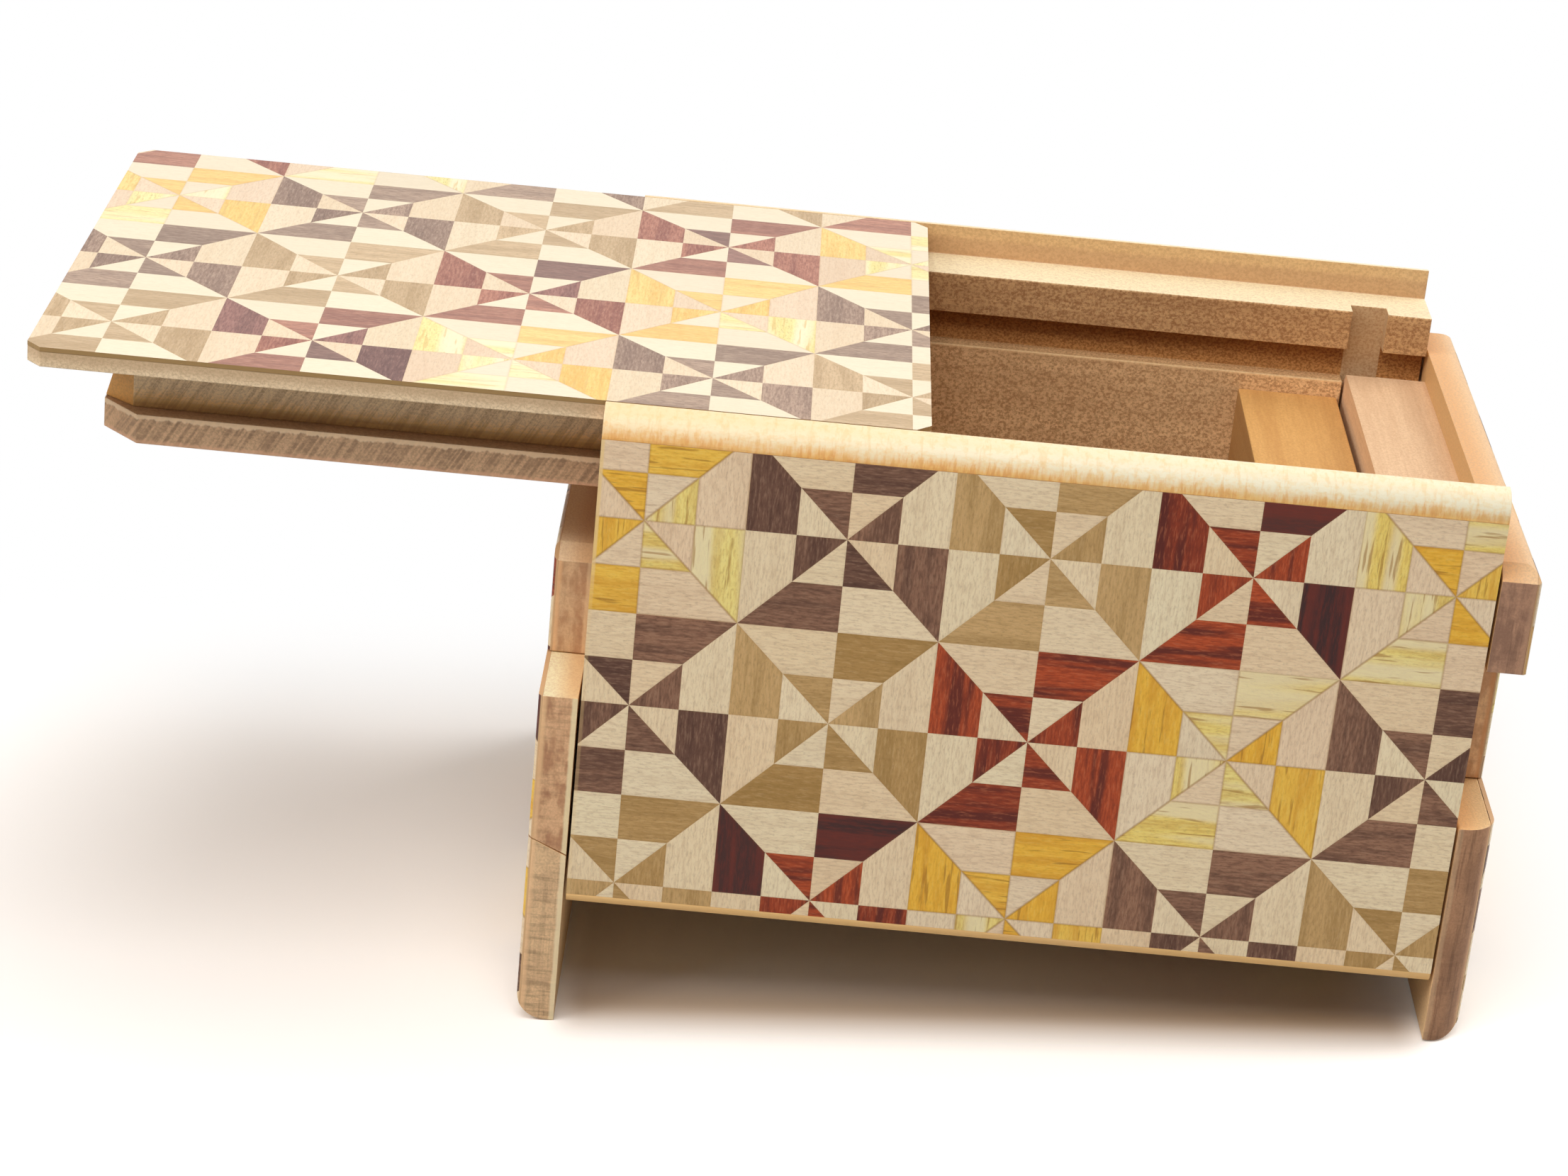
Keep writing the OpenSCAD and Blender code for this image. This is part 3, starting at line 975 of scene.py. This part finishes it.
@dataclass(frozen=True)
class SawnWood(Timber):
    """Wood with the slanting marks of the saw on its sides, and a wavy pale top edge."""

    mark: float = 0.62
    top_z: float = 62.2
    low_z: float = 58.0
    pale: Tone = Tone(252, 222, 184)
    shade: Tone = Tone(110, 76, 48)
    blush: Tone = Tone(232, 182, 148)

    lean: float = 1.7
    saw: Figure = Figure((1.0, 0.1, 0.1), 1.5, 0.5, (0.36, 0.64))
    fuzz: Figure = Figure((0.7, 1.0, 1.4), 2.0, 0.6, (0.35, 0.6))
    wave: Figure = Figure((0.9, 0.3, 0.0), 2.0, 0.6)

    def coat(self, board: Board) -> Board:
        """Draws the marks, which lean to the right, the crest and the low edge.

        Args:
            board: The plain wood.

        Returns:
            The painted wood, with the marks in its relief.
        """
        x, y, z, steep = board.x, board.y, board.z, board.steep()
        marks = self.saw.marks(x * self.lean - z, y, z)
        fuzz = self.fuzz.marks(x, y, z)
        wave = self.wave.clouds(x, y, z) - 0.5
        share = marks * steep * self.mark * (0.5 + 0.5 * fuzz)
        colour = mix(share, board.colour, self.deep)
        crest = (z + wave * 1.3).rise(self.top_z - 0.85, self.top_z - 0.5)
        colour = mix(crest * steep * 0.8, colour, self.pale)
        colour = mix(board.level() * 0.35, colour, self.shade)
        low = (1 - (z + wave).rise(self.low_z + 0.3, self.low_z + 0.8)) * steep
        colour = mix(low * 0.6, colour, self.blush)
        return replace(board, colour=colour, height=board.height + marks * steep * 0.4)


@dataclass(frozen=True)
class NeckWood(Timber):
    """The neck under the lid, grey-brown above and a deeper orange towards the runner."""

    upper: Tone = Tone(255, 226, 184)
    shadow: Tone = Tone(130, 84, 46)
    low_z: float = 62.6
    high_z: float = 65.6

    lean: float = 1.7
    saw: Figure = Figure((1.0, 0.1, 0.1), 2.0, 0.6, (0.42, 0.62))

    def coat(self, board: Board) -> Board:
        """Shades the neck from its top to its foot.

        Args:
            board: The plain wood.

        Returns:
            The painted wood.
        """
        z, grit, long_side = board.z, board.grit, 1 - board.butt
        marks = self.saw.marks(board.x * self.lean - z, board.y, z)
        upper = mix(grit * 0.3 + marks * 0.3, self.upper, self.deep)
        climb = (z + (grit - 0.5) * 0.8).rise(self.low_z, self.high_z)
        colour = mix(climb * long_side, board.colour, upper)
        foot = 1 - (z + (grit - 0.5) * 0.4).rise(self.low_z, self.low_z + 1.2)
        colour = mix(foot * long_side * 0.4, colour, self.shadow)
        colour = mix(marks * (1 - climb) * long_side * 0.3, colour, self.deep)
        return replace(board, colour=colour)


@dataclass(frozen=True)
class PlateWood(Timber):
    """The lid's plate, whose sawn edge is grey-brown above and pale below."""

    upper: Tone = Tone(214, 184, 148)
    lower: Tone = Tone(246, 220, 184)
    line: Tone = Tone(136, 108, 70)
    waver: Figure = Figure((0.25, 0.25, 0.6), 2.0, 0.5)

    def coat(self, board: Board) -> Board:
        """Paints the edge's layers, counted down from the marquetry.

        Args:
            board: The plain wood.

        Returns:
            The painted wood.
        """
        waver = self.waver.clouds(board.x, board.y, board.z) - 0.5
        below = BOX_HEIGHT - VENEER - board.z
        layer = mix((below + waver * 1.2).rise(0.5, 2.1), self.upper, self.lower)
        layer = mix((1 - below.rise(0.04, 0.2)) * 0.7, layer, self.line)
        layer = mix(board.grit * 0.5, layer, self.upper.toward(self.line, 0.4))
        colour = mix(board.steep(), board.colour, layer)
        return replace(board, colour=colour)


@dataclass(frozen=True)
class BarWood(Timber):
    """A bar's wood: mottled end grain with a pale arris beside the wall and an outer strip.

    The pale arris is a painted highlight along the chamfered inner edge of the ends. The inner
    face is where the bar meets the end panel, and the strip lies along the outer edge, under the
    marquetry.
    """

    grain: Axis = Axis.Y
    streaks: float = 0.3
    speckle: float = 0.4
    top: Tone = Tone(240, 200, 150)
    hollow: Tone = Tone(222, 150, 84)
    arris: Tone = Tone(250, 220, 176)
    strip: Tone = Tone(226, 180, 140)
    side: Tone = Tone(236, 196, 146)
    stain: Tone = Tone(60, 40, 30)
    blotch: float = 0.6
    scratch: float = 0.12
    ribs: float = 0.1
    arris_highlight_width: float = 0.9
    arris_highlight_share: float = 0.8
    inner_x: float = HALF_LENGTH + 0.4
    strip_x: float = HALF_LENGTH + 4.3

    cloud: Figure = Figure((0.4, 0.3, 0.2), 3.0, 0.65, (0.4, 0.62))
    across: Figure = Figure((0.12, 0.3, 1.3), 3.0, 0.6, (0.48, 0.66))
    upright: Figure = Figure((1.9, 0.3, 0.12), 2.0, 0.6, (0.5, 0.66))

    def coat(self, board: Board) -> Board:
        """Paints the bar's ends, sides and top.

        Args:
            board: The plain wood.

        Returns:
            The painted wood, with the blots in its relief.
        """
        x, grit, ends = board.x, board.grit, board.butt
        spot = (x, board.y, board.z)
        cloud = self.cloud.clouds(*spot)
        blot = cloud.rise(*self.cloud.levels)
        plain = mix(grit * 0.35, self.side, self.side.toward(self.deep, 0.35))
        colour = mix(ends, plain, board.colour)
        colour = mix(blot * ends * self.blotch, colour, self.deep)
        across = self.across.marks(*spot) * self.scratch
        upright = self.upright.marks(*spot) * self.ribs
        marks = (across + upright) * ends
        colour = mix(marks, colour, self.deep.toward(self.stain, 0.3))

        outward = abs(x) + (cloud - 0.5) * 0.5
        strip = outward.rise(self.strip_x, self.strip_x + 0.6) * ends
        colour = mix(strip * 0.7, colour, self.strip)
        # Painted highlight: a pale strip along the ends' inner edge, where the chamfer catches
        # the light.
        width = self.arris_highlight_width
        edge = 1 - outward.rise(self.inner_x + width * 0.6, self.inner_x + width)
        colour = mix(edge * ends * self.arris_highlight_share, colour, self.arris)
        # Up-facing tops take their own tone, more orange beside the wall; the left bars' pale top
        # tones are painted light.
        far = outward.rise(self.inner_x + 0.8, self.inner_x + 4.2)
        crest = mix(far, self.top.toward(self.hollow, 0.4), self.top)
        crest = mix(grit * 0.3, crest, self.face.toward(self.deep, 0.5))
        colour = mix(board.level(0.4), colour, crest)
        return replace(board, colour=colour, height=board.height + blot * 0.3)


class Dresser:
    """Gives CAD nodes their materials and eases their arrises."""

    def __init__(self, nodes: dict[str, bpy.types.Object]) -> None:
        """Keeps the frame's nodes by name."""
        self.nodes = nodes

    def dress(self, name: str, material: bpy.types.Material, arris: float = 0.0) -> None:
        """Puts a material on a node.

        Args:
            name: The node.
            material: The material that takes the place of its own.
            arris: The width that its sharp edges are eased by, in millimetres, or 0.
        """
        piece = self.nodes[name]
        if not piece.material_slots:
            piece.data.materials.append(material)
        for slot in piece.material_slots:
            slot.material = material
        if arris > 0:
            self.ease(piece, arris)
        LOG.info("%s wears %s", name, material.name)

    def ease(self, piece: bpy.types.Object, width: float) -> None:
        """Rounds a piece's sharp edges, after its loose triangles are joined and flattened.

        Args:
            piece: The piece.
            width: The width of the rounding in millimetres.
        """
        weld = piece.modifiers.new("join", "WELD")
        weld.merge_threshold = 0.001 * MM
        flat = piece.modifiers.new("flat", "DECIMATE")
        flat.decimate_type = "DISSOLVE"
        flat.angle_limit = math.radians(0.5)
        bevel = piece.modifiers.new("arris", "BEVEL")
        bevel.width = width * MM
        bevel.segments = 2
        bevel.limit_method = "ANGLE"
        bevel.angle_limit = math.radians(30)
        bevel.use_clamp_overlap = True


@dataclass
class BoxBody:
    """The two long walls, the bottom and the blocks of the compartment."""

    arris: float = 0.2
    wall: Timber = WallWood(
        Tone(250, 212, 160), Tone(164, 114, 72), Tone(225, 185, 135), Axis.X, 0.18, 0.72
    )
    block: Timber = BlockWood(
        Tone(226, 174, 106), Tone(194, 136, 74), Tone(226, 180, 125), Axis.Y, 0.35, 0.4
    )
    board: Timber = Timber(
        Tone(226, 186, 132), Tone(180, 130, 84), Tone(200, 160, 110), Axis.X, 0.4, 0.4
    )

    def build(self, dresser: Dresser) -> None:
        """Dresses the fixed parts of the box.

        Args:
            dresser: Gives the nodes their materials.
        """
        wood = self.wall.make("wall_wood")
        for name in ("front_wall", "back_wall"):
            dresser.dress(name, wood, self.arris)
        front = Marquetry(Side.FRONT, FRESH, rubbed=0.6)
        dresser.dress("front_veneer", front.make("front_marquetry"))
        dresser.dress("back_veneer", Marquetry(Side.BACK, FRESH).make("back_marquetry"))
        dresser.dress("bottom_veneer", Marquetry(Side.BOTTOM, FRESH).make("bottom_marquetry"))
        block = self.block.make("block_wood")
        for name in ("left_end_block", "right_end_block"):
            dresser.dress(name, block, self.arris)
        board = self.board.make("board_wood")
        for name in ("bottom_board", "compartment_floor"):
            dresser.dress(name, board)


@dataclass
class Lid:
    """The sliding lid: its marquetry, its plate, and the neck and runner below."""

    arris: float = 0.15
    # The lid's sheet takes the paler palette and the painted sheen: painted light on its top.
    sheet: Marquetry = Marquetry(
        Side.LID, LID_PAINTED_SHEEN_PALETTE, drift=1.65, glue=0.3, painted_sheen=0.5, edge=Tone(166, 134, 88)
    )
    plate: Timber = PlateWood(
        Tone(220, 190, 145), Tone(160, 125, 85), Tone(200, 170, 130), Axis.X
    )
    guide: Timber = Timber(Tone(150, 118, 80), Tone(100, 70, 42), Tone(140, 105, 70), Axis.X)
    neck: Timber = NeckWood(
        Tone(255, 206, 132), Tone(150, 106, 70), Tone(240, 176, 96), Axis.X, 0.3, 0.3
    )
    runner: Timber = SawnWood(
        Tone(226, 186, 148), Tone(118, 90, 68), Tone(220, 178, 138), Axis.X, 0.1, 0.35
    )

    def build(self, dresser: Dresser) -> None:
        """Dresses the lid.

        Args:
            dresser: Gives the nodes their materials.
        """
        dresser.dress("lid_veneer", self.sheet.make("lid_marquetry"))
        dresser.dress("lid_board", self.plate.make("lid_plate_wood"), self.arris)
        dresser.dress("lid_guide_board", self.guide.make("lid_guide_wood"))
        dresser.dress("lid_neck", self.neck.make("lid_neck_wood"), self.arris)
        dresser.dress("lid_runner", self.runner.make("lid_runner_wood"), self.arris)


class Bar(Enum):
    """The bars of an end panel, by their place."""

    UPPER = "upper"
    MIDDLE = "middle"
    LOWER = "lower"


@dataclass
class EndPanel:
    """An end panel: the board behind the bars, its bars and their marquetry.

    Each bar carries its own part of the side's pattern. The shifts give how far each
    stands from its place in the closed box, back and up.
    """

    name: str
    side: Side
    shifts: dict[Bar, tuple[float, float]]
    woods: dict[Bar, BarWood]
    arris: float = 0.25
    carrier: Timber = Timber(
        Tone(242, 205, 165), Tone(205, 160, 120), Tone(225, 185, 145), Axis.Y, 0.3, 0.4
    )

    def build(self, dresser: Dresser) -> None:
        """Dresses the end panel.

        Args:
            dresser: Gives the nodes their materials.
        """
        wood = self.carrier.make(f"{self.name}_carrier_wood")
        for part in ("runner", "neck", "backing"):
            dresser.dress(f"{self.name}_{part}", wood)
        for bar, shift in self.shifts.items():
            key = f"{self.name}_{bar.value}"
            dresser.dress(f"{key}_bar", self.woods[bar].make(f"{key}_wood"), self.arris)
            sheet = Marquetry(self.side, FRESH, shift).make(f"{key}_marquetry")
            dresser.dress(f"{key}_veneer", sheet)
            if f"{key}_tongue" in dresser.nodes:
                dresser.dress(f"{key}_tongue", wood)


LEFT_SHIFTS = {Bar.UPPER: (14.5, -26.1), Bar.MIDDLE: (0.0, -26.1), Bar.LOWER: (0.0, -26.1)}
# The left bars' top tones are set pale: painted light, standing in for the light from above that
# falls on their tops.
LEFT_WOODS = {
    Bar.UPPER: BarWood(
        Tone(240, 195, 150), Tone(184, 132, 98), Tone(232, 198, 158),
        top=Tone(255, 226, 186), strip=Tone(250, 204, 154), side=Tone(250, 206, 150),
        arris_highlight_share=0.5,
    ),
    Bar.MIDDLE: BarWood(
        Tone(250, 215, 165), Tone(168, 112, 80), Tone(238, 192, 148),
        top=Tone(255, 246, 206), strip=Tone(250, 206, 156), arris=Tone(255, 236, 190),
        blotch=0.7, scratch=0.25,
    ),
    Bar.LOWER: BarWood(
        Tone(240, 200, 150), Tone(158, 118, 90), Tone(244, 206, 160),
        top=Tone(255, 224, 172), strip=Tone(252, 208, 160), arris=Tone(255, 234, 192),
        blotch=0.2, scratch=0.4, ribs=0.2,
    ),
}
RIGHT_SHIFTS = {Bar.UPPER: (0.0, -10.2), Bar.MIDDLE: (16.5, -10.2), Bar.LOWER: (0.0, -10.2)}
RIGHT_WOODS = {
    Bar.UPPER: BarWood(
        Tone(245, 215, 185), Tone(126, 92, 76), Tone(190, 146, 118),
        top=Tone(244, 202, 154), strip=Tone(190, 148, 120), side=Tone(226, 182, 124),
        ribs=0.3, arris_highlight_share=0.0,
    ),
    Bar.MIDDLE: BarWood(
        Tone(240, 200, 155), Tone(190, 136, 100), Tone(255, 218, 172),
        top=Tone(240, 196, 140), strip=Tone(226, 166, 116), arris_highlight_share=0.2,
    ),
    Bar.LOWER: BarWood(
        Tone(232, 192, 150), Tone(130, 92, 68), Tone(186, 140, 106),
        top=Tone(234, 196, 142), strip=Tone(206, 158, 122), blotch=0.4, scratch=0.15,
        ribs=0.45, arris_highlight_share=0.2,
    ),
}


@dataclass(frozen=True)
class Pool:
    """A round patch of the floor, from its middle to where it ends softly."""

    x: float
    y: float
    near: float
    far: float

    def beyond(self, x: Num, y: Num) -> Num:
        """Returns 0 within the patch and 1 beyond it."""
        across, away = x - self.x, y - self.y
        return (across * across + away * away).maths("SQRT").rise(self.near, self.far)


@dataclass(frozen=True)
class Lamp:
    """A square lamp that faces the box, with lengths in millimetres and power in watts."""

    name: str
    place: tuple[float, float, float]
    size: float
    power: float
    aim: tuple[float, float, float] = (-20.0, 0.0, 30.0)
    light: tuple[float, float, float] = (1.0, 0.98, 0.95)

    def hang(self) -> None:
        """Hangs the lamp in its place."""
        data = bpy.data.lights.new(self.name, "AREA")
        data.size = self.size * MM
        data.energy = self.power
        data.color = self.light
        lamp = bpy.data.objects.new(self.name, data)
        spot = Vector(self.place) * MM
        turn = (Vector(self.aim) * MM - spot).to_track_quat("-Z", "Y")
        lamp.matrix_world = Matrix.Translation(spot) @ turn.to_matrix().to_4x4()
        bpy.context.scene.collection.objects.link(lamp)


@dataclass
class Studio:
    """The pale floor, the soft light and the camera.

    The floor passes under the outer corners of the lowered left and right bars, which
    the box stands on. The camera's place is in millimetres, and its angles are in
    degrees: its heading from the box's depth, its fall and its roll. The painted shadow's
    shares are for the floor under the box's middle, more towards its long sides and its
    right end, and for the floor beside the left bars.
    """

    eye: tuple[float, float, float] = (-40.546, -540.540, 261.746)
    heading: float = 0.73386
    fall: float = 23.2334
    roll: float = 5.6660
    lens: float = 92.39
    sensor: float = 36.0
    low_left: tuple[float, float] = (-61.3, -18.6)
    low_right: tuple[float, float] = (62.5, -9.0)
    reach: float = 4000.0
    shown: tuple[float, float, float] = (1.25, 1.23, 1.22)
    thrown: tuple[float, float, float] = (0.6, 0.588, 0.56)
    # The painted shadow on the floor: its tone and its shares.
    painted_shadow: Tone = Tone(158, 117, 59)
    painted_shadow_middle: float = 0.4
    painted_shadow_edges: float = 0.4
    painted_shadow_right: float = 0.08
    painted_shadow_beside: float = 0.24
    beside: Pool = Pool(-106.0, -4.0, 5.0, 90.0)
    lit: Pool = Pool(-66.0, -10.0, 115.0, 215.0)
    white: tuple[float, float, float, float] = (1.0, 1.0, 1.0, 1.0)
    haze: tuple[float, float, float, float] = (1.0, 0.98, 0.95, 1.0)
    lamps: tuple[Lamp, ...] = (
        Lamp("front_lamp", (-77, -324, 648), 420, 2.2),
        Lamp("left_lamp", (-540, -242, 432), 400, 2.1),
        Lamp("back_lamp", (500, 242, 432), 500, 2.55),
    )

    def camera(self) -> None:
        """Sets the camera where the photograph was taken from.

        The view's forward direction comes from its heading and its fall. Its right and
        up directions are turned about it by the roll.
        """
        turn, fall, roll = (math.radians(v) for v in (self.heading, self.fall, self.roll))
        flat = math.cos(fall)
        ahead = Vector((flat * math.sin(turn), flat * math.cos(turn), -math.sin(fall)))
        level = Vector((math.cos(turn), -math.sin(turn), 0))
        upright = level.cross(ahead)
        right = level * math.cos(roll) + upright * math.sin(roll)
        up = upright * math.cos(roll) - level * math.sin(roll)
        matrix = Matrix((right, up, -ahead)).transposed().to_4x4()
        matrix.translation = Vector(self.eye) * MM
        data = bpy.data.cameras.new("camera")
        data.lens = self.lens
        data.sensor_width = self.sensor
        data.clip_start = 10 * MM
        camera = bpy.data.objects.new("camera", data)
        camera.matrix_world = matrix
        bpy.context.scene.collection.objects.link(camera)
        bpy.context.scene.camera = camera

    def floor(self) -> None:
        """Lays a wide plane under the lowered bars."""
        x0, z0 = self.low_left
        x1, z1 = self.low_right
        slope = (z1 - z0) / (x1 - x0)
        signs = ((-1, -1), (1, -1), (1, 1), (-1, 1))
        plan = [(x * self.reach, y * self.reach) for x, y in signs]
        points = [(x * MM, y * MM, (z0 + (x - x0) * slope) * MM) for x, y in plan]
        mesh = bpy.data.meshes.new("floor")
        mesh.from_pydata(points, [], [(0, 1, 2, 3)])
        plane = bpy.data.objects.new("floor", mesh)
        bpy.context.scene.collection.objects.link(plane)
        mesh.materials.append(self.paper())

    def seen(self, shader: Shader) -> Num:
        """Tells what the camera sees, straight, mirrored or through glass.

        Args:
            shader: The material or room under construction.

        Returns:
            1 for such a ray, else 0.
        """
        path = shader.node("ShaderNodeLightPath").outputs
        straight, mirrored, through = (
            Num(shader, path[f"Is {kind} Ray"]) for kind in ("Camera", "Glossy", "Transmission")
        )
        return straight.most(mirrored).most(through)

    def under(self, x: Num, y: Num) -> Num:
        """Tells where a shadow is painted on the floor, which darkens it: under the box and
        beside the left bars.

        Args:
            x: The place along the box.
            y: The place across it.

        Returns:
            How much darker the painted shadow makes it, from 0 to 1.
        """
        out = abs(y)
        edges = out.rise(28, HALF_DEPTH - 3) * self.painted_shadow_edges
        share = edges + x.rise(-10, HALF_LENGTH) * self.painted_shadow_right + self.painted_shadow_middle
        dark = (1 - out.rise(HALF_DEPTH - 7, HALF_DEPTH + 8)) * share
        dark = dark * (1 - abs(x).rise(HALF_LENGTH - 4, HALF_LENGTH + 4))
        return dark.most((1 - self.beside.beyond(x, y)) * self.painted_shadow_beside)

    def paper(self) -> bpy.types.Material:
        """Makes the floor's material: white to the camera, and it keeps the shadow.

        It throws back less light than the camera sees. To the camera it also carries a painted
        shadow under the box and beside the left bars. Away from the box it fades into
        plain white.

        Returns:
            The finished material.
        """
        shader = Shader.material("floor_paper")
        seen = self.seen(shader)
        colour = shader.join(
            *(seen * (shown - thrown) + thrown for shown, thrown in zip(self.shown, self.thrown))
        )
        matt = shader.node("ShaderNodeBsdfDiffuse", inputs={"Color": colour})
        dark = shader.node("ShaderNodeBsdfDiffuse", inputs={"Color": self.painted_shadow})
        glow = {"Color": self.white, "Strength": 1.0}
        white = shader.node("ShaderNodeEmission", inputs=glow)
        x, y, _ = shader.place()
        away = self.lit.beyond(x, y).most(y.rise(30, 100)).most(x.rise(66, 100))
        # Painted shadow: to the camera, the floor is darkened under the box and beside the left
        # bars.
        both = shader.blend(self.under(x, y) * seen, matt, dark)
        both = shader.blend(away * seen, both, white)
        shader.node("ShaderNodeOutputMaterial", inputs={0: both.outputs[0]})
        return shader.owner

    def sky(self) -> None:
        """Fills the room with soft light, and shows white behind everything."""
        shader = Shader(bpy.data.worlds.new("room"))
        way = shader.node("ShaderNodeTexCoord").outputs["Generated"]
        climb = shader.split(way)[Axis.Z.value].most(0.0)
        light = {"Color": self.haze, "Strength": climb * climb * 0.4 + 0.06}
        soft = shader.node("ShaderNodeBackground", inputs=light)
        plain = {"Color": self.white, "Strength": 1.0}
        white = shader.node("ShaderNodeBackground", inputs=plain)
        both = shader.blend(self.seen(shader), soft, white)
        shader.node("ShaderNodeOutputWorld", inputs={0: both.outputs[0]})
        bpy.context.scene.world = shader.owner

    def build(self) -> None:
        """Sets up the whole room."""
        self.camera()
        self.floor()
        self.sky()
        for lamp in self.lamps:
            lamp.hang()
        bpy.context.scene.view_settings.view_transform = "Standard"


def main() -> None:
    """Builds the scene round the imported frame."""
    logging.basicConfig(level=logging.INFO, format="%(message)s")
    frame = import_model()
    dresser = Dresser(frame["nodes"])
    Studio().build()
    BoxBody().build(dresser)
    Lid().build(dresser)
    EndPanel("left", Side.LEFT, LEFT_SHIFTS, LEFT_WOODS).build(dresser)
    EndPanel("right", Side.RIGHT, RIGHT_SHIFTS, RIGHT_WOODS).build(dresser)


if __name__ == "__main__":
    main()
